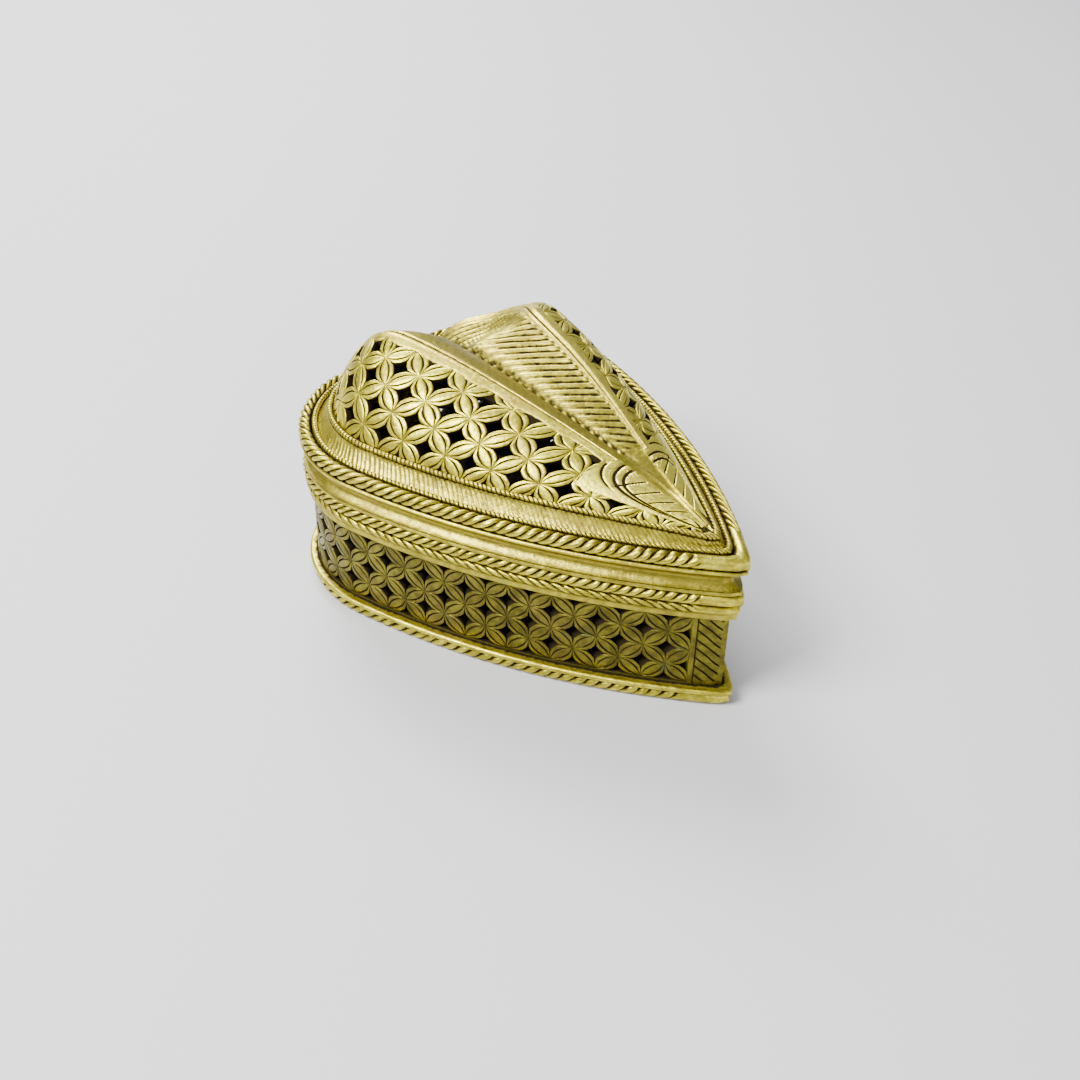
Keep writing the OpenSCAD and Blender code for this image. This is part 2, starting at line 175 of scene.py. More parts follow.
def rope_section(d0, z0, r, pitch, plain, depth, lean=1, strands=3, seed=1):
    """A twisted rope of radius r. It is plain near the tip, as far as the length plain."""
    def section(q, v):
        th = v * 2 * math.pi
        phase = (q + wander(q, seed, 0.35)) / pitch * math.pi * lean
        c = np.abs(np.cos(strands / 2 * th - phase))
        cut = smooth(plain - 1.0, plain + 1.2, np.abs(q))
        hollow = (1 - c) ** 2.0 * cut
        lump = 1 + 0.02 * wander(q, seed + 5, 1.0)
        rr = r * (1 - depth * (0.16 * (1 - c) + 0.95 * hollow) * cut) * np.minimum(lump, 1.0)
        g = np.clip(hollow * 1.5, 0, 1)
        # the inner side of the rope, against the part behind it, is darkened: painted shade between the parts
        back = np.clip(-np.cos(th), 0, 1)
        g = np.maximum(g, 0.8 * smooth(0.3, 0.9, back))
        return d0 + rr * np.cos(th), z0 + rr * np.sin(th), g
    return section


# ---- surface of the dome -----------------------------------------------------------------------
def bezier(p, t):
    t = t[..., None]
    return p[0] * (1 - t) ** 3 + p[1] * 3 * t * (1 - t) ** 2 + p[2] * 3 * t * t * (1 - t) + p[3] * t ** 3


def vec(x, y, z):
    return np.array([x, y, z], float)


TIP_Y = SIDE_C[1] + (SIDE_R + RIM_D) * math.sin(tip_angle(RIM_D))
END_TURN = math.radians(10)
RIM_ARCS = arc_lengths(RIM_D)
RIM_LEN = RIM_ARCS[0] + RIM_ARCS[1] + (BACK_R + RIM_D) * (SIDE_TURN + END_TURN)
PEAK, LOW = vec(13, 26.7, RIDGE_Z), vec(0, 20.7, RIDGE_Z - 5.5)
RIDGE_END = vec(BACK_C[0] + (BACK_R + RIM_D) * math.cos(QUARTER + END_TURN),
                BACK_C[1] + (BACK_R + RIM_D) * math.sin(QUARTER + END_TURN), DOME_Z)
RIDGE_FRONT = [vec(0, TIP_Y + 0.9, DOME_Z + 0.9), vec(2.2, -26.5, RIDGE_Z - 11),
               vec(8.3, 7.4, RIDGE_Z - 1.2), PEAK]
RIDGE_BACK = [PEAK, vec(14.2, 32.3, RIDGE_Z + 0.5), vec(12.6, 40.6, RIDGE_Z - 6), RIDGE_END]
VALLEY_FRONT = [vec(0, TIP_Y + 1.6, DOME_Z + 1.5), vec(0, -26.5, RIDGE_Z - 8.8),
                vec(0, 4, RIDGE_Z - 8), LOW]
VALLEY_BACK = [LOW, vec(0, 24, RIDGE_Z - 5.8), vec(0, 27.5, RIDGE_Z - 11),
               vec(0, CLEFT_Y + RIM_D, DOME_Z)]


# how square the outer slope is (0 would be a right angle), and how the right ridge is moved
FULL_LEFT, FULL_RIGHT = 0.26, 0.15
LEAN_ALONG, LEAN_CROWN, LEAN_BACK = vec(3.4, -3.2, -1.3), vec(0.3, 0, -0.5), vec(2.4, -1.4, -2.6)
DRAWN = vec(0, -2.3, -1.3)


def two_part(front, back, u):
    """A point of the curve that runs through front to the crown and through back to the rim."""
    a = bezier(front, np.clip(u / FRONT_SHARE, 0, 1))
    b = bezier(back, np.clip((u - FRONT_SHARE) / (1 - FRONT_SHARE), 0, 1))
    return np.where((u < FRONT_SHARE)[..., None], a, b)


def rim_at(u):
    x, y = heart(np.clip(u, 0, 1) * RIM_LEN, RIM_D, RIM_D)
    return np.stack([x, y, 0 * x + DOME_Z], -1)


def back_rim(v):
    """The rim behind the valley, from the cleft at v = 0 to the ridge's end at v = 1."""
    r = 0.1 * (1 - v) - RIM_D
    a = 2 * v * (QUARTER - SIDE_TURN) - QUARTER
    b = math.pi - SIDE_TURN - (2 * v - 1) * (QUARTER - SIDE_TURN - END_TURN)
    x = np.where(v < 0.5, r * np.cos(a), BACK_C[0] + (BACK_R - r) * np.cos(b))
    y = np.where(v < 0.5, CLEFT_Y + r * np.sin(a), BACK_C[1] + (BACK_R - r) * np.sin(b))
    return np.stack([x, y, 0 * x + DOME_Z], -1)


def valley_slope(u, v):
    """The puffed slope from the valley at v = 0 to the ridge at v = 1."""
    a, b = two_part(VALLEY_FRONT, VALLEY_BACK, u), two_part(RIDGE_FRONT, RIDGE_BACK, u)
    h, zero = b[..., 2] - a[..., 2], 0 * b[..., 0]
    return bezier([a, a + np.stack([0.20 * b[..., 0], zero, 0.42 * h], -1),
                   b - np.stack([0.50 * b[..., 0], zero, 0.10 * h], -1), b], v)


def lean(u, w):
    """The right ridge is cast further out and forward than the left, and falls sooner at the back."""
    across = smooth(0.15, 0.95, w) * smooth(2.0, 1.25, w)
    ends = smooth(1.0, 0.90, u)
    along = across * (smooth(0.10, 0.60, u) * ends)
    crown = across * (smooth(0.55, 0.80, u) * ends)
    back = np.sin(math.pi * np.clip((u - 0.70) / 0.30, 0, 1)) ** 2
    back = back * smooth(0.0, 0.6, w) * smooth(2.0, 1.35, w)
    return along[..., None] * LEAN_ALONG + crown[..., None] * LEAN_CROWN + back[..., None] * LEAN_BACK


def drawn_to_tip(p):
    """The top of the lid droops a little and runs out further at the tip."""
    near = np.exp(-np.maximum(p[..., 1:2] - TIP_Y, 0) / 9.0) * smooth(34.0, 36.2, p[..., 2:3])
    return p + near * DRAWN


def dome_at(u, w, right=False):
    """A point of the dome. u runs from the tip to the back, and w from the rim at 0 over the ridge
    at 1 to the valley at 2. Past 2 it climbs the left slope."""
    u, w = np.broadcast_arrays(np.asarray(u, float), np.asarray(w, float))
    flip = w > 2
    w = np.where(flip, 4 - w, w)
    v = np.clip(w, -0.2, 1)[..., None]
    a, c = rim_at(u), two_part(RIDGE_FRONT, RIDGE_BACK, u)
    full = np.where(np.asarray(right) & ~flip, FULL_RIGHT, FULL_LEFT)[..., None]
    b = a + (c - a) * np.concatenate([full, full, 1 - full], -1)
    outer = a * (1 - v) ** 2 + b * 2 * v * (1 - v) + c * v ** 2
    vi = np.clip(2 - w, 0, 1)
    t = np.clip((u - FRONT_SHARE) / (1 - FRONT_SHARE), 0, 1)
    to_rim = back_rim(vi) - valley_slope(0 * u + 1, vi)
    inner = valley_slope(u, vi) + (t * t * (3 - 2 * t))[..., None] * to_rim
    p = drawn_to_tip(np.where((w <= 1)[..., None], outer, inner))
    p = p + np.where((np.asarray(right) & ~flip)[..., None], lean(u, w), 0)
    return np.where(flip[..., None], p * np.array([-1, 1, 1]), p)


def dome_normal(u, w, right=False):
    e = 0.004
    u = np.clip(u, 0.012, 0.985)
    du = dome_at(u + e, w, right) - dome_at(u - e, w, right)
    near = np.abs(w - 1) < 0.08
    step = np.where(near, 0.09, 0.02)
    dw = dome_at(u, w + step, right) - dome_at(u, w - step, right)
    n = np.cross(du, dw)
    n /= np.linalg.norm(n, axis=-1, keepdims=True) + 1e-12
    return np.where(n[..., 2:] < 0, -n, n)


def on_dome(u, w, h, right=False):
    """A point that stands out from the dome by h."""
    u, w, h = np.broadcast_arrays(np.asarray(u, float), np.asarray(w, float), np.asarray(h, float))
    return dome_at(u, w, right) + dome_normal(u, w, right) * h[..., None]


def plate_faces(n, m):
    """Faces of a closed plate: n by m points in front, the same behind, and the four edges."""
    k = n * m
    i, j = np.meshgrid(np.arange(n - 1), np.arange(m - 1), indexing="ij")
    a = (i * m + j).reshape(-1)
    faces = np.stack([a, a + m, a + m + 1, a + 1], -1).tolist()
    faces += np.stack([a + k, a + k + 1, a + k + m + 1, a + k + m], -1).tolist()
    for edge in ([x * m for x in range(n)], [x * m + m - 1 for x in range(n)],
                 list(range(m)), [(n - 1) * m + x for x in range(m)]):
        faces += [[p, q, q + k, p + k] for p, q in zip(edge[:-1], edge[1:])]
    return faces


def plate(name, us, ws, height, depth, mirror=False):
    """A closed plate over the dome: height(u, w) gives how far its face stands out, and the groove value. Its
    back is set dark as painted shade.
    """
    U, W = np.meshgrid(us, ws, indexing="ij")
    h, g = height(U, W)
    n, m = U.shape
    right = not mirror
    front, back = on_dome(U, W, h, right), on_dome(U, W, 0 * U - depth, right)
    pts = np.concatenate([front.reshape(-1, 3), back.reshape(-1, 3)])
    if mirror:
        pts = pts * np.array([-1, 1, 1])
    # the back face gets a groove value of 0.8: painted shade inside the lid
    groove = np.concatenate([(g + 0 * U).reshape(-1), 0 * U.reshape(-1) + 0.8])
    return mesh_object(name, pts, plate_faces(n, m), groove)


# ---- the pierced lattice: one petal, copied over the cells --------------------------------------
PETAL_T = np.array([0, 0.09, 0.2, 0.34, 0.5, 0.66, 0.8, 0.91, 1.0])
PETAL_EDGE = [(1, -0.36, 1.3), (0.94, -0.07, 0.35), (0.87, -0.01, 0.03), (0.59, -0.01, 0.1),
              (0.48, -0.28, 1.6), (0.38, -0.05, 0.3), (0.28, -0.005, 0.04), (0, 0.01, 0.02)]
PETAL_ROWS = np.array([(-b, h, g) for b, h, g in PETAL_EDGE] + [(b, h, g) for b, h, g in PETAL_EDGE[-2::-1]])
PETAL_B, PETAL_H, PETAL_G = PETAL_ROWS.T
HOLE_TIP, HOLE_WAIST = 0.585, 0.645


def petal(thick):
    """Points (x, y, h, groove value) of one petal in a unit cell, lying from corner 0, 0 to corner 1, 1. Its
    back is set dark as painted shade.
    """
    T, B = np.meshgrid(PETAL_T, PETAL_B, indexing="ij")
    reach = HOLE_TIP / 2
    width = np.where(np.minimum(T, 1 - T) < reach, 2 * np.minimum(T, 1 - T),
                     HOLE_TIP + (HOLE_WAIST - HOLE_TIP) * (1 - ((T - 0.5) / (0.5 - reach)) ** 2))
    b = B * width
    fade = smooth(0, 0.12, np.minimum(T, 1 - T))
    h = PETAL_H[None, :] * (0.35 + 0.65 * fade) - 0.16 * (1 - fade)
    g = PETAL_G[None, :] * (0.4 + 0.6 * fade) + 0.25 * (1 - fade)
    front = np.stack([T + b / 2, T - b / 2, h, g], -1)
    bb = np.array([1.0, 0.0, -1.0])[None, :] * width[:, :1]
    # the back rows get a groove value of 0.9: painted shade on the back and down the hole walls
    back = np.stack([T[:, :3] + bb / 2, T[:, :3] - bb / 2, 0 * bb - thick, 0 * bb + 0.9], -1)
    return np.concatenate([front, back], 1)


def lattice(cols, rows, thick):
    tile = petal(thick)
    n, m = tile.shape[:2]
    flipped = tile.copy()
    flipped[..., 0] = 1 - flipped[..., 0]
    face = []
    for i in range(n - 1):
        for j in range(m):
            j2 = (j + 1) % m
            face.append([i * m + j, (i + 1) * m + j, (i + 1) * m + j2, i * m + j2])
    face = np.array(face)
    points, faces = [], []
    for i in range(cols):
        for j in range(rows):
            t = (tile if (i + j) % 2 == 0 else flipped).reshape(-1, 4).copy()
            t[:, 0] += i
            t[:, 1] += j
            faces.append(face + len(points) * n * m)
            points.append(t)
    return np.array(points), np.concatenate(faces).reshape(-1, 4), n * m


def place_lattice(name, cols, rows, thick, place, mirror):
    """The lattice laid on a surface by place(x, y, h), with the petals that place leaves out dropped."""
    points, faces, size = lattice(cols, rows, thick)
    flat = points.reshape(-1, 4)
    xyz, keep = place(flat[:, 0], flat[:, 1], flat[:, 2], not mirror)
    keep = keep.reshape(-1, size).any(1)
    new_index = np.cumsum(keep) - 1
    owner = faces[:, 0] // size
    faces = faces[keep[owner]] - ((owner - new_index[owner])[keep[owner]] * size)[:, None]
    xyz = xyz.reshape(-1, size, 3)[keep].reshape(-1, 3)
    if mirror:
        xyz = xyz * np.array([-1, 1, 1])
    return mesh_object(name, xyz, faces.tolist(), points[keep][..., 3].reshape(-1))


# ---- finishes ----------------------------------------------------------------------------------
def group(name, inputs, outputs):
    tree = bpy.data.node_groups.new(name, "ShaderNodeTree")
    for label, kind, value in inputs:
        s = tree.interface.new_socket(label, in_out="INPUT", socket_type=kind)
        if value is not None:
            s.default_value = value
    for label, kind in outputs:
        tree.interface.new_socket(label, in_out="OUTPUT", socket_type=kind)
    return tree, tree.nodes.new("NodeGroupInput"), tree.nodes.new("NodeGroupOutput")


def noise(tree, vector, scale, detail=3.0, rough=0.55, distort=0.0):
    n = tree.nodes.new("ShaderNodeTexNoise")
    n.inputs["Scale"].default_value = scale
    n.inputs["Detail"].default_value = detail
    n.inputs["Roughness"].default_value = rough
    n.inputs["Distortion"].default_value = distort
    tree.links.new(vector, n.inputs["Vector"])
    return n.outputs["Fac"]


def spread(tree, value, low, high):
    """0 below low and 1 above high, with a smooth step between."""
    n = tree.nodes.new("ShaderNodeMapRange")
    n.interpolation_type = "SMOOTHSTEP"
    n.inputs["From Min"].default_value = low
    n.inputs["From Max"].default_value = high
    tree.links.new(value, n.inputs["Value"])
    return n.outputs["Result"]


def sums(tree, how, a, b):
    n = tree.nodes.new("ShaderNodeMath")
    n.operation = how
    for socket, x in zip(n.inputs, (a, b)):
        if isinstance(x, (int, float)):
            socket.default_value = x
        else:
            tree.links.new(x, socket)
    return n.outputs[0]


def blend_colour(tree, mask, a, b):
    n = tree.nodes.new("ShaderNodeMix")
    n.data_type = "RGBA"
    tree.links.new(mask, n.inputs["Factor"])
    for socket, x in ((n.inputs["A"], a), (n.inputs["B"], b)):
        if isinstance(x, tuple):
            socket.default_value = x
        else:
            tree.links.new(x, socket)
    return n.outputs["Result"]


def stretched(tree, vector, scale, turn=0.0):
    n = tree.nodes.new("ShaderNodeMapping")
    n.inputs["Scale"].default_value = scale
    n.inputs["Rotation"].default_value = (0.3, 0.2, turn)
    tree.links.new(vector, n.inputs["Vector"])
    return n.outputs["Vector"]


def casting_grain():
    """Pits, fine sand grain and fine scratches, as one height and one mask of scratches."""
    tree, i, o = group("casting_grain", [("Vector", "NodeSocketVector", None),
                                         ("Pits", "NodeSocketFloat", 0.5),
                                         ("Scratches", "NodeSocketFloat", 0.5)],
                       [("Height", "NodeSocketFloat"), ("Scratch mask", "NodeSocketFloat"),
                        ("Mottle", "NodeSocketFloat")])
    vec_in = i.outputs["Vector"]
    lumps = noise(tree, vec_in, 1100, 2.0)
    fine = noise(tree, vec_in, 4200, 2.0)
    pit = spread(tree, noise(tree, vec_in, 1900, 3.0, 0.6), 0.36, 0.28)
    s1 = spread(tree, noise(tree, stretched(tree, vec_in, (300, 5200, 4200), 0.6), 1.0, 2.0), 0.60, 0.68)
    s2 = spread(tree, noise(tree, stretched(tree, vec_in, (5200, 420, 3800), -0.4), 1.0, 2.0), 0.62, 0.70)
    scratch = sums(tree, "MULTIPLY", sums(tree, "MAXIMUM", s1, s2), i.outputs["Scratches"])
    h = sums(tree, "ADD", sums(tree, "MULTIPLY", lumps, 0.6), sums(tree, "MULTIPLY", fine, 0.22))
    h = sums(tree, "SUBTRACT", h, sums(tree, "MULTIPLY", pit, sums(tree, "MULTIPLY", i.outputs["Pits"], 0.5)))
    h = sums(tree, "SUBTRACT", h, sums(tree, "MULTIPLY", scratch, 0.18))
    tree.links.new(h, o.inputs["Height"])
    tree.links.new(scratch, o.inputs["Scratch mask"])
    speck = spread(tree, noise(tree, vec_in, 1500, 4.0, 0.7), 0.50, 0.66)
    tree.links.new(sums(tree, "MAXIMUM", speck, pit), o.inputs["Mottle"])
    return tree


def dirt_in_grooves():
    """Where old polish and dirt sit, and where shade is painted: in the grooves and the corners, and in
    patches on the open metal.
    """
    tree, i, o = group("dirt_in_grooves", [("Vector", "NodeSocketVector", None),
                                           ("Groove_and_shade", "NodeSocketFloat", 0.0),
                                           ("Patches", "NodeSocketFloat", 0.3)],
                       [("Dark", "NodeSocketFloat"), ("Stain", "NodeSocketFloat"),
                        ("Green", "NodeSocketFloat")])
    vec_in = i.outputs["Vector"]
    ragged = noise(tree, vec_in, 900, 4.0, 0.65)
    broad = noise(tree, vec_in, 130, 3.0, 0.6, 0.4)
    uneven = sums(tree, "MULTIPLY", sums(tree, "SUBTRACT", ragged, 0.5), 0.9)
    dark = spread(tree, sums(tree, "ADD", i.outputs["Groove_and_shade"], uneven), 0.28, 0.78)
    cloud = sums(tree, "ADD", sums(tree, "MULTIPLY", ragged, 0.45), sums(tree, "MULTIPLY", broad, 0.55))
    stain = sums(tree, "MULTIPLY", spread(tree, cloud, 0.47, 0.66), i.outputs["Patches"])
    green = spread(tree, noise(tree, vec_in, 210, 2.0, 0.5), 0.66, 0.74)
    tree.links.new(dark, o.inputs["Dark"])
    tree.links.new(stain, o.inputs["Stain"])
    tree.links.new(green, o.inputs["Green"])
    return tree


def worn_high_spots():
    """Patches rubbed bright, and a faint pink blush where the copper shows."""
    tree, i, o = group("worn_high_spots", [("Vector", "NodeSocketVector", None),
                                           ("Groove_and_shade", "NodeSocketFloat", 0.0),
                                           ("Rubbed", "NodeSocketFloat", 0.5)],
                       [("Bright", "NodeSocketFloat"), ("Blush", "NodeSocketFloat")])
    vec_in = i.outputs["Vector"]
    high = spread(tree, i.outputs["Groove_and_shade"], 0.35, 0.0)
    rub = spread(tree, noise(tree, vec_in, 340, 3.0, 0.6), 0.36, 0.66)
    bright = sums(tree, "MULTIPLY", sums(tree, "MULTIPLY", high, rub), i.outputs["Rubbed"])
    tree.links.new(bright, o.inputs["Bright"])
    tree.links.new(spread(tree, noise(tree, vec_in, 95, 2.0, 0.5), 0.52, 0.72), o.inputs["Blush"])
    return tree


GRAIN, DIRT_AND_SHADE, WORN = casting_grain(), dirt_in_grooves(), worn_high_spots()
OLD_BRASS = (0.43, 0.360, 0.028, 1)
RUBBED_BRASS = (0.92, 0.82, 0.085, 1)
# dark patina for the grooves, also used as painted shade on backs, where parts meet and in the valley
DARK_PATINA_AND_SHADE = (0.016, 0.011, 0.004, 1)
BROWN_STAIN = (0.15, 0.112, 0.022, 1)
COPPER_BLUSH = (0.84, 0.56, 0.15, 1)
GREEN_SPOT = (0.10, 0.12, 0.05, 1)
GRAIN_DEPTH = 0.00022


def brass(name, metal=OLD_BRASS, rubbed=0.6, patches=0.5, pits=0.5, blush=0.15, gloss=0.33):
    """Cast brass: metal is its open colour, and the rest say how rubbed, stained, pitted, coppery
    and rough it is. Dirt fills the grooves, and the same dark colour paints shade where the groove value
    marks it."""
    m = bpy.data.materials.new(name)
    m.use_nodes = True
    t = m.node_tree
    p = t.nodes["Principled BSDF"]
    p.inputs["Specular IOR Level"].default_value = 0.05
    place = t.nodes.new("ShaderNodeTexCoord").outputs["Object"]
    att = t.nodes.new("ShaderNodeAttribute")
    att.attribute_name = "groove"

    def use(tree, **values):
        n = t.nodes.new("ShaderNodeGroup")
        n.node_tree = tree
        for label, x in values.items():
            n.inputs[label].default_value = x
        t.links.new(place, n.inputs["Vector"])
        if "Groove_and_shade" in n.inputs:
            t.links.new(att.outputs["Fac"], n.inputs["Groove_and_shade"])
        return n.outputs

    grain = use(GRAIN, Pits=pits, Scratches=0.5)
    dirt_and_shade = use(DIRT_AND_SHADE, Patches=patches)
    worn = use(WORN, Rubbed=rubbed)
    colour = blend_colour(t, worn["Bright"], metal, RUBBED_BRASS)
    colour = blend_colour(t, sums(t, "MULTIPLY", worn["Blush"], blush), colour, COPPER_BLUSH)
    colour = blend_colour(t, dirt_and_shade["Stain"], colour, BROWN_STAIN)
    colour = blend_colour(t, sums(t, "MULTIPLY", grain["Mottle"], 0.38), colour, BROWN_STAIN)
    colour = blend_colour(t, sums(t, "MULTIPLY", dirt_and_shade["Green"], 0.35), colour, GREEN_SPOT)
    # dark patina and painted shade, laid on by the groove value
    colour = blend_colour(t, dirt_and_shade["Dark"], colour, DARK_PATINA_AND_SHADE)
    t.links.new(colour, p.inputs["Base Color"])
    dull = sums(t, "MAXIMUM", dirt_and_shade["Dark"], sums(t, "MULTIPLY", dirt_and_shade["Stain"], 0.5))
    rough = sums(t, "ADD", sums(t, "MULTIPLY", dull, 0.42), gloss)
    rough = sums(t, "ADD", rough, sums(t, "MULTIPLY", grain["Scratch mask"], 0.12))
    t.links.new(rough, p.inputs["Roughness"])
    t.links.new(sums(t, "SUBTRACT", 1.0, sums(t, "MULTIPLY", dull, 0.92)), p.inputs["Metallic"])
    b = t.nodes.new("ShaderNodeBump")
    b.inputs["Strength"].default_value = 0.6
    b.inputs["Distance"].default_value = GRAIN_DEPTH
    t.links.new(grain["Height"], b.inputs["Height"])
    t.links.new(b.outputs["Normal"], p.inputs["Normal"])
    return m


PIERCED = brass("pierced_brass", metal=(0.50, 0.425, 0.030, 1), rubbed=0.8, patches=0.5, blush=0.1)
# the brass of the walls and posts is made far darker than the dome's, to paint the shade that falls on the
# walls
WALLS_PAINTED_SHADE = brass("wall_brass_painted_shade", metal=(0.098, 0.084, 0.013, 1), rubbed=0.16, patches=0.6, blush=0.05)
BAND = brass("band_brass", metal=(0.32, 0.262, 0.028, 1), rubbed=0.35, patches=0.5)
ROPE = brass("rope_brass", rubbed=0.8, patches=0.25, pits=0.3)
CHASED = brass("chased_brass", metal=(0.40, 0.33, 0.034, 1), rubbed=0.55, patches=0.5)
# the leaf's brass is polished, and is also made brighter to paint the light it loses by facing away from the
# lamps
POLISHED_AND_PAINTED_LIGHT = brass("polished_brass", metal=(0.90, 0.77, 0.10, 1), rubbed=1.0, patches=0.15, blush=0.15,
                 pits=0.9)
RIDGE = brass("coppery_brass", metal=(0.70, 0.56, 0.07, 1), rubbed=0.85, patches=0.2, blush=0.6, pits=0.7)
# the box's floor is nearly black: painted shade inside the box, seen through the pierced walls
FLOOR_PAINTED_SHADE = brass("floor_brass", metal=(0.018, 0.013, 0.004, 1), rubbed=0.0, patches=0.3, blush=0.0, gloss=0.5)
HINGE = brass("hinge_brass", metal=(0.30, 0.24, 0.03, 1), rubbed=0.35, patches=0.75)

# ---- box ---------------------------------------------------------------------------------------
def rope(name, body, node, step, m, d0, z0, r, pitch, plain, depth, **twist):
    """A twisted rope all round, measured along the line of its middle."""
    section = rope_section(d0, z0, r, pitch, plain, depth, **twist)
    finish_piece(ring(name, d0, step, section, m), body, ROPE, [node], 60)


def lip_ring(name, ref, pts, body, material, nodes):
    section, count = profile(pts)
    finish_piece(ring(name, ref, 0.8, section, count), body, material, nodes, 32)


rope("foot_rope_twist", "box", "foot_rope", 0.26, 24, -1.85, 1.25, 1.25, 2.35, 8.6, 0.42, seed=3)
lip_ring("foot_fillet_wire", -0.3, [(-3.8, 2.5, .6), (-1.2, 2.5, .9), (-0.75, 2.52, .9), (-0.45, 2.65, .4),
                                    (-0.3, 2.9, .05), (-0.3, 3.1, 0), (-0.4, 3.35, 0), (-0.62, 3.52, .1),
                                    (-0.9, 3.58, .25), (-1.5, 3.55, .5), (-1.95, 3.6, .9), (-3.8, 3.6, .5)],
         "box", ROPE, ["foot_fillet"])

WALL_D, WALL_MID, WALL_THICK = -2.0, -2.7, 1.4
MID_ARCS = arc_lengths(WALL_MID)
TIP_POST_W, BACK_POST_W, WALL_COLS, WALL_ROWS, MARGIN = 7.0, 6.0, 26, 4, 0.6
PITCH = (sum(MID_ARCS[:3]) - TIP_POST_W - BACK_POST_W) / WALL_COLS
ROW_H = (WALL_Z1 - WALL_Z0 - 2 * MARGIN) / WALL_ROWS


def on_wall(x, y, h, right):
    """A point of the pierced wall, at column x and row y, that stands out by h."""
    s = TIP_POST_W + x * PITCH
    px, py = heart(s, WALL_D + h, WALL_MID)
    return np.stack([px, py, WALL_Z0 + MARGIN + y * ROW_H], -1), np.ones(x.shape, bool)


for side, mirrored in (("left", True), ("right", False)):
    finish_piece(place_lattice("wall_petals_" + side, WALL_COLS, WALL_ROWS, WALL_THICK, on_wall, mirrored),
                 "box", WALLS_PAINTED_SHADE, ["wall_" + side], 50)

lip_ring("wall_strips_low", WALL_D, [(-3.4, 3.6, .6), (-2.02, 3.6, .8), (-2.02, 4.0, .35),
                                     (-2.12, 4.24, .8), (-3.4, 4.24, .8)],
         "box", WALLS_PAINTED_SHADE, [])
lip_ring("wall_strips_high", WALL_D, [(-3.4, 19.76, .8), (-2.12, 19.76, .8), (-2.02, 20.0, .35),
                                      (-2.02, 20.4, .8), (-3.4, 20.4, .6)],
         "box", WALLS_PAINTED_SHADE, [])


def post_on_wall(name, half, ns, nz, relief):
    """A closed plate on the wall line that runs from -half over the tip to half."""
    S, Z = np.meshgrid(np.linspace(-half, half, ns), np.linspace(WALL_Z0, WALL_Z1, nz), indexing="ij")
    h, g = relief(S, Z)
    fx, fy = heart(S, WALL_D + h, WALL_MID)
    bx, by = heart(S, WALL_D - WALL_THICK, WALL_MID)
    pts = np.concatenate([np.stack([fx, fy, Z], -1).reshape(-1, 3), np.stack([bx, by, Z], -1).reshape(-1, 3)])
    # the back face gets a groove value of 0.7: painted shade inside the box
    groove = np.concatenate([(g + 0 * S).reshape(-1), 0 * S.reshape(-1) + 0.7])
    return mesh_object(name, pts, plate_faces(ns, nz), groove)


def post_relief(S, Z):
    """Slanting cuts on both faces of the tip post, inside an engraved line."""
    a = np.abs(S)
    wobble = 0.07 * np.sin(Z * 1.3 + 2) + 0.05 * np.sin(S * 1.9)
    line = (Z - 0.85 * a + wobble) / 2.15
    field = smooth(6.0, 5.7, a) * smooth(0.9, 1.2, a + 0 * Z) * smooth(4.3, 4.8, Z) * smooth(19.7, 19.2, Z)
    cut = smooth(0.13, 0.0, np.abs((line % 1) - 0.5)) * field
    edge = smooth(0.28, 0.05, np.abs(a - 6.05))
    ridge = smooth(0.4, 0.1, np.abs(a - 6.5)) * 0.12
    h = -0.30 * cut - 0.30 * edge + ridge
    return h, np.clip(cut + 0.9 * edge, 0, 1)


finish_piece(post_on_wall("tip_post_chased", TIP_POST_W + 0.05, 141, 121, post_relief),
             "box", WALLS_PAINTED_SHADE, ["tip_post"])

lip_ring("rim_collar_strip", -1.0, [(-3.8, 20.4, .5), (-1.9, 20.4, .9), (-1.15, 20.42, .6), (-1.0, 20.6, .1),
                                    (-1.0, 21.5, .05), (-1.15, 21.76, .3), (-1.8, 21.8, .8),
                                    (-2.3, 21.85, .9), (-2.3, 23.45, .8), (-3.8, 23.5, .5)],
         "box", BAND, ["rim_collar"])
rope("rim_rope_twist", "box", "rim_rope", 0.3, 18, -1.4, 22.6, 0.8, 2.15, 8, 0.30, lean=-1, seed=9)

# ---- lid mouldings -----------------------------------------------------------------------------
rope("lid_lower_rope_twist", "lid", "lid_lower_rope", 0.2, 36, -1.5, 24.9, 1.2, 1.95, 7.6, 0.50,
     strands=4, seed=21)
lip_ring("lid_seat_strip", -0.7, [(-3.8, 23.7, .5), (-2.75, 23.7, .9), (-2.6, 26.05, .9), (-1.2, 26.1, .9),
                                  (-0.85, 26.2, .4), (-0.7, 26.4, .05), (-0.7, 26.75, 0),
                                  (-0.85, 26.98, .1), (-1.2, 27.08, .5), (-3.8, 27.1, .6)],
         "lid", BAND, ["lid_seat_band"])
scotia = [(-3.8, 27.1, .5), (-1.0, 27.1, .8), (-0.85, 27.15, .6), (-0.8, 27.3, .1)]
for bend in np.linspace(-1, 1, 15):
    scotia.append((1.35 * bend ** 2 - 2.35, 29.0 + 1.62 * bend, 0.05 + 0.22 * (1 - bend ** 2)))
scotia += [(-0.8, 30.8, .1), (-0.8, 31.1, .3), (-1.0, 31.2, .8), (-3.8, 31.2, .5)]
lip_ring("lid_scotia", -0.8, scotia, "lid", BAND, ["lid_scotia_band"])
lip_ring("lid_flange_lip", -0.2, [(-8.6, 31.2, .6), (-0.7, 31.2, .8), (-0.35, 31.24, .5), (-0.2, 31.4, .1),
                                  (-0.2, 31.7, 0), (-0.35, 31.86, .3), (-0.7, 31.9, .8), (-8.6, 31.9, .6)],
         "lid", ROPE, ["lid_flange"])
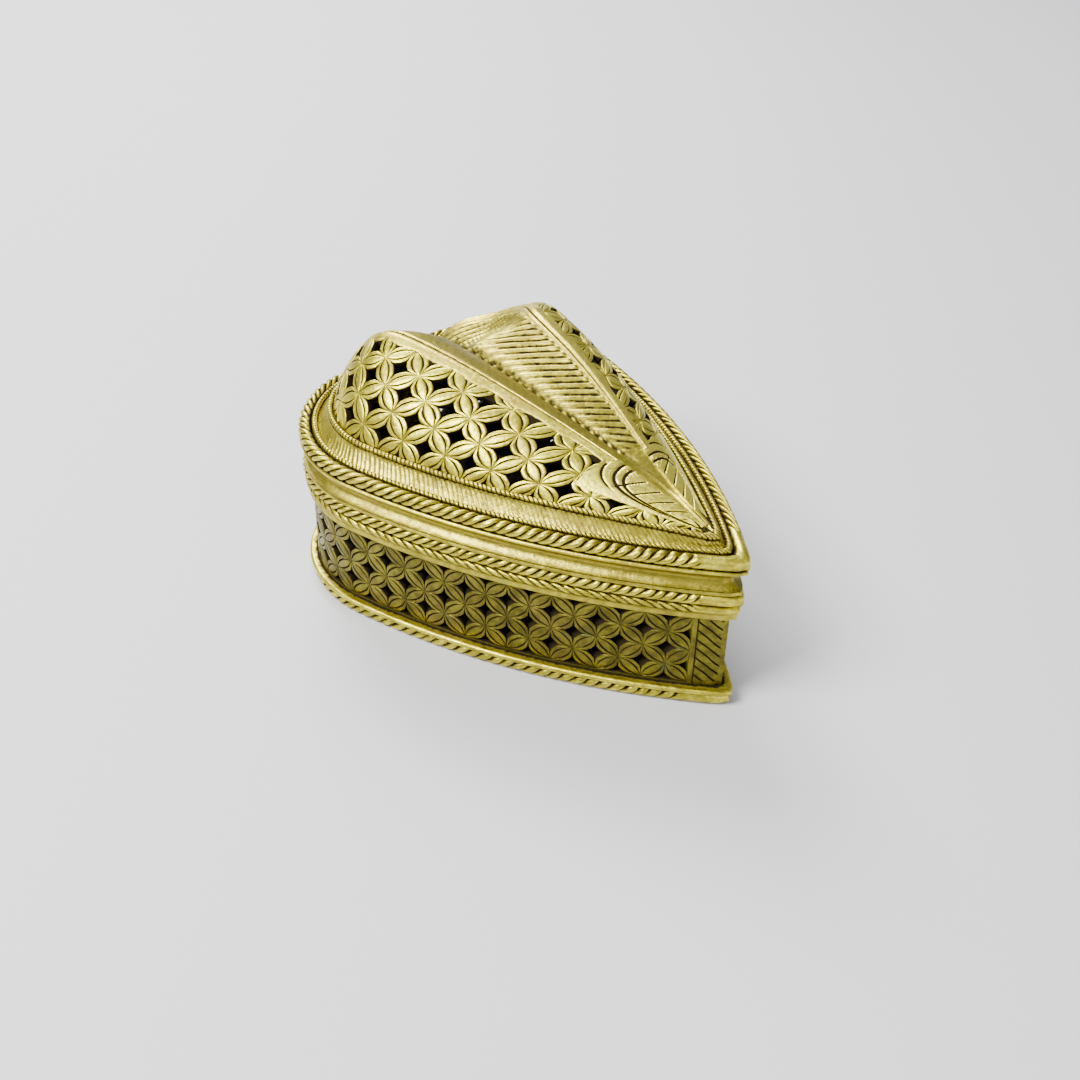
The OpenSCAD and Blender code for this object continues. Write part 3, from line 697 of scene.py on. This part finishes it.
rope("lid_upper_rope_twist", "lid", "lid_upper_rope", 0.2, 36, -1.35, 33.2, 1.3, 2.08, 8.6, 0.50,
     strands=4, seed=33)


def milled(d0, z0, r, pitch):
    """A fine wire, nicked across at the pitch."""
    def section(q, v):
        th = v * 2 * math.pi
        c = np.abs(np.sin((q + wander(q, 4, 0.1)) / pitch * math.pi + 0.5 * np.sin(th)))
        rr = r * (0.72 + 0.28 * np.minimum(1, c * 1.7))
        return d0 + rr * np.cos(th), z0 + rr * np.sin(th), np.clip(1.25 - 1.8 * c, 0, 1)
    return section


for name, d0, z0, drawn in (("lower", -3.25, 34.1, False), ("upper", -6.45, 37.0, True)):
    finish_piece(ring(name + "_milled_wire", d0, 0.15, milled(d0, z0, 0.5, 0.9), 10, drawn),
                 "lid", CHASED, [name + "_bead_wire"], 60)

SHOULDER = [(-8.6, 31.9), (-2.65, 31.9), (-2.85, 33.6), (-3.7, 33.62), (-3.95, 33.8), (-4.25, 34.1),
            (-4.6, 34.45), (-4.95, 34.85), (-5.25, 35.25), (-5.55, 35.65), (-5.8, 36.0), (-5.95, 36.3),
            (-6.0, 36.5), (-8.6, 36.5)]


def shoulder_section(q, v):
    """The sloping band, with fine slanting ribs on its open face, corners 4 to 11."""
    pts = np.array(SHOULDER)
    i = np.round(v * len(pts)).astype(int) % len(pts)
    d, z = pts[i, 0], pts[i, 1]
    face = ((i >= 4) & (i <= 11)).astype(float)
    ends = smooth(3.5, 4.5, i) * smooth(11.6, 10.6, i)
    wave = np.cos((q + (z - 35) * 0.45 + wander(q, 12, 0.25)) / 1.02 * 2 * math.pi)
    rib = np.clip(wave, -0.8, 1)
    lift = 0.075 * rib * face
    # the corners off the open face get 0.7: painted shade where the band meets the upper rope and on its
    # hidden side
    groove = np.where(face > 0, np.clip(-wave, 0, 1) * 0.55 + 0.15 * (1 - ends), 0.7)
    return d + lift * 0.75, z + lift * 0.65, groove


finish_piece(ring("shoulder_ribbed", -4.8, 0.17, shoulder_section, len(SHOULDER), True),
             "lid", CHASED, ["shoulder_band"], 50)

# ---- dome: petals, ridges, leaves and valley --------------------------------------------------
DOME_COLS, DOME_ROWS, DOME_STEP = 21, 9, 4.5
LEAF_U, LEAF_W, RIDGE_W, VALLEY_W = 0.275, 0.43, 0.945, 1.14


def slope_len(u):
    """Length of the outer slope from the rim to the ridge."""
    return 1.06 * np.linalg.norm(two_part(RIDGE_FRONT, RIDGE_BACK, u) - rim_at(u), axis=-1)


def top_of_grille(u):
    return np.where(u < LEAF_U, LEAF_W + 0.07, RIDGE_W + 0.02)


def petals_on_dome(x, y, h, right):
    """Where column x and row y of the lattice lie on the dome, and which petals stay."""
    u = np.clip(x / DOME_COLS, 0.004, 0.996)
    w = (y * DOME_STEP - 0.6) / np.maximum(slope_len(u), 4)
    top = top_of_grille(u)
    keep = (w < top - 0.02) & (w > -0.02)
    return on_dome(u, np.clip(w, 0.0, top), h, right), keep


def rim_strip(U, W):
    """The thin plain edge that closes the lattice at the foot of the dome."""
    return np.where(W > 0.9 * W.max(), -0.35, 0.02) + 0 * U, np.where(W > 0.7 * W.max(), 0.8, 0.3) + 0 * U


def ridge_relief(U, W):
    """From the petals inwards: a plain band over the ridge, a groove, and a raised wire."""
    scallop = 0.011 * np.cos(U * DOME_COLS * math.pi) * smooth(0.97, 0.92, W)
    xp = [0.885, 0.91, 0.925, 0.94, 0.965, 1.0, 1.03, 1.045, 1.06, 1.075, 1.095, 1.115, 1.13, 1.15, 1.17]
    hp = [-0.4, -0.16, -0.02, 0.05, 0.10, 0.16, 0.08, 0.02, -0.16, 0.10, 0.20, 0.12, 0.0, -0.08, -0.3]
    gp = [1, 1, .6, .05, 0, 0, 0, .2, 1.3, .15, 0, .05, .35, .7, .9]
    return np.interp(W + scallop, xp, hp), np.interp(W + scallop, xp, gp)


def leaf_relief(U, W):
    """A leaf with a double engraved edge and short cuts across it, beside the stem in the middle.

    a runs along the leaf, q across it, and f is 1 on its outline.
    """
    a = np.clip((U - 0.015) / 0.238, 0, 1.3)
    q = np.clip((1.10 - W) / 0.585, 0, 1.3)
    f = (a ** 3.2 + q ** 3.2) ** (1 / 3.2)
    line = 0.020 + 0.022 * smooth(0.5, 0.95, q)
    edge = smooth(line, line * 0.3, np.abs(f - 0.975)) + smooth(line, line * 0.3, np.abs(f - 0.895))
    outer = smooth(0.016, 0.005, np.abs(f - 1.08)) * smooth(0.8, 0.95, a)
    slant = (a - 0.20 * q) * 6.4
    cuts = smooth(0.10, 0.04, np.abs(slant % 1 - 0.5)) * smooth(0.80, 0.74, q) * smooth(0.12, 0.18, q)
    cuts = cuts * smooth(0.18, 0.24, a) * smooth(0.88, 0.84, a)
    nicks = smooth(0.10, 0.04, np.abs((slant * 4) % 1 - 0.5)) * smooth(0.45, 0.30, q)
    nicks = nicks * smooth(0.80, 0.85, a) * smooth(0.97, 0.92, a)
    stem = smooth(0.022, 0.006, np.abs(W - 1.125)) * smooth(0.245, 0.235, U)
    dots = smooth(0.3, 0.1, np.abs((U * 190) % 1 - 0.5)) * smooth(1.145, 1.155, W)
    swell = 0.16 * np.clip(1 - f ** 2, 0, 1)
    marks = np.clip(edge + outer + cuts + 0.7 * nicks + stem, 0, 1)
    stained = 0.75 * smooth(0.05, 0.015, U) * smooth(1.1, 0.9, W)
    return 0.10 + swell - 0.26 * marks - 0.08 * dots, np.clip(1.35 * marks + 0.4 * dots + stained, 0, 1.3)


def valley_relief(U, W):
    """Straight ribs that run from a smooth strip in the valley up and forward to the ridges."""
    a = np.abs(W - 2)
    p = dome_at(U, W)
    bend = 0.10 * np.sin(p[..., 1] * 0.55 + 1.3 * np.sign(W - 2)) + 0.05 * np.sin(p[..., 1] * 2.9)
    f = np.cos((p[..., 1] + 1.05 * np.abs(p[..., 0]) + bend) / 2.35 * 2 * math.pi)
    left = W > 2
    reach = smooth(0.02, np.where(left, 0.13, 0.40), a)
    reach = reach * np.where(left, 0.06 + 0.94 * smooth(0.45, 0.33, a), 1)
    reach = reach * smooth(0.855, 0.82, a) * smooth(0.26, 0.30, U)
    worn = 1 - 0.15 * smooth(0.70, 0.90, U)
    ribs = (smooth(-0.25, 0.75, f) - 0.35) * 0.34 * reach * worn
    low = smooth(0.35, -0.6, f) * reach * (0.45 + 0.55 * worn)
    # the groove value darkens the rib hollows with patina, and paints shade and dirt in a band along the
    # valley floor and on the left slope's strip by the ridge
    return ribs, 0.72 * low + 0.6 * smooth(0.22, 0.04, a) + np.where(left, 0.3 * smooth(0.35, 0.5, a), 0)


def spaced(a, b, step):
    return np.linspace(a, b, max(2, int(round((b - a) / step)) + 1))


STRIP_WS = np.array([0.0, 0.012, 0.03, 0.036])
RIDGE_WS = np.array([0.86, 0.88, 0.895, 0.905, 0.915, 0.93, 0.945, 0.96, 0.98, 1.0, 1.02, 1.04, 1.055,
                     1.063, 1.07, 1.077, 1.085, 1.093, 1.10, 1.107, 1.115, 1.123, 1.13, 1.14, 1.15, 1.17])
DOME_THICK = 1.4

for side, mirrored in (("left", True), ("right", False)):
    finish_piece(place_lattice("dome_petals_" + side, DOME_COLS, DOME_ROWS, DOME_THICK,
                               petals_on_dome, mirrored),
                 "lid", PIERCED, ["dome_grille_" + side], 50)
    finish_piece(plate("dome_foot_strip_" + side, spaced(0.01, 1.0, 0.008), STRIP_WS,
                       rim_strip, DOME_THICK, mirrored),
                 "lid", PIERCED, [])
    finish_piece(plate("ridge_band_" + side, spaced(LEAF_U - 0.01, 1.0, 0.006), RIDGE_WS,
                       ridge_relief, DOME_THICK, mirrored),
                 "lid", RIDGE, ["ridge_" + side], 40)
    finish_piece(plate("tip_leaf_chased_" + side, spaced(0.0, LEAF_U + 0.004, 0.0028),
                       spaced(LEAF_W - 0.01, 1.21, 0.009), leaf_relief, DOME_THICK, mirrored),
                 "lid", POLISHED_AND_PAINTED_LIGHT, ["tip_leaf_" + side], 50)

finish_piece(plate("valley_feather", spaced(0.01, 0.998, 0.0022), spaced(VALLEY_W, 4 - VALLEY_W, 0.022),
                   valley_relief, DOME_THICK),
             "lid", CHASED, ["valley_panel"], 60)

# ---- nodes of the frame that are shown as they are ----------------------------------------------
for node, material in (("base_plate", FLOOR_PAINTED_SHADE), ("back_post", WALLS_PAINTED_SHADE), ("hinge_lug_box", HINGE),
                       ("hinge_lug_lid", HINGE), ("hinge_pin", HINGE)):
    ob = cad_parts[node]
    ob.data.materials.clear()
    ob.data.materials.append(material)

# ---- floor, lights and camera -------------------------------------------------------------------
bpy.ops.object.select_all(action="DESELECT")
bpy.ops.mesh.primitive_plane_add(size=3.0, location=(0, 0, -0.00005))
floor = bpy.context.active_object
floor.name = "floor"
floor_paint = bpy.data.materials.new("pale_floor")
floor_paint.use_nodes = True
floor_shader = floor_paint.node_tree.nodes["Principled BSDF"]
floor_shader.inputs["Base Color"].default_value = (0.62, 0.62, 0.63, 1)
floor_shader.inputs["Roughness"].default_value = 0.75
floor.data.materials.append(floor_paint)

world = bpy.data.worlds.new("studio")
world.use_nodes = True
world.node_tree.nodes["Background"].inputs["Color"].default_value = (0.92, 0.95, 1.0, 1)
world.node_tree.nodes["Background"].inputs["Strength"].default_value = 0.42
bpy.context.scene.world = world


def soft_light(name, position, target, size, power, colour=(1, 1, 1)):
    data = bpy.data.lights.new(name, "AREA")
    data.shape, data.size, data.energy, data.color = "SQUARE", size, power, colour
    ob = bpy.data.objects.new(name, data)
    ob.location = position
    ob.rotation_euler = (Vector(target) - Vector(position)).to_track_quat("-Z", "Y").to_euler()
    bpy.context.scene.collection.objects.link(ob)


soft_light("window_left", (-0.42, 0.10, 0.55), (0, 0, 0.03), 0.30, 10.0)
soft_light("window_back", (0.20, 0.50, 0.5), (0, 0, 0.03), 0.35, 9.0)
soft_light("fill_front", (-0.2, -0.6, 0.35), (0, 0, 0.02), 0.5, 1.6)

EYE, TARGET = Vector((-0.17336, -0.16828, 0.19488)), Vector((-0.00854, -0.00734, 0.020))
ROLL = math.radians(1.48)
forward = (TARGET - EYE).normalized()
right = forward.cross(Vector((0, 0, 1))).normalized()
up = right.cross(forward)
right, up = right * math.cos(ROLL) + up * math.sin(ROLL), up * math.cos(ROLL) - right * math.sin(ROLL)
lens = bpy.data.cameras.new("camera")
lens.sensor_width, lens.lens = 36.0, 50.27
lens.clip_start, lens.clip_end = 0.01, 10.0
camera = bpy.data.objects.new("camera", lens)
camera.matrix_world = Matrix(((right.x, up.x, -forward.x, EYE.x), (right.y, up.y, -forward.y, EYE.y),
                              (right.z, up.z, -forward.z, EYE.z), (0, 0, 0, 1)))
bpy.context.scene.collection.objects.link(camera)
bpy.context.scene.camera = camera

bpy.context.view_layer.update()
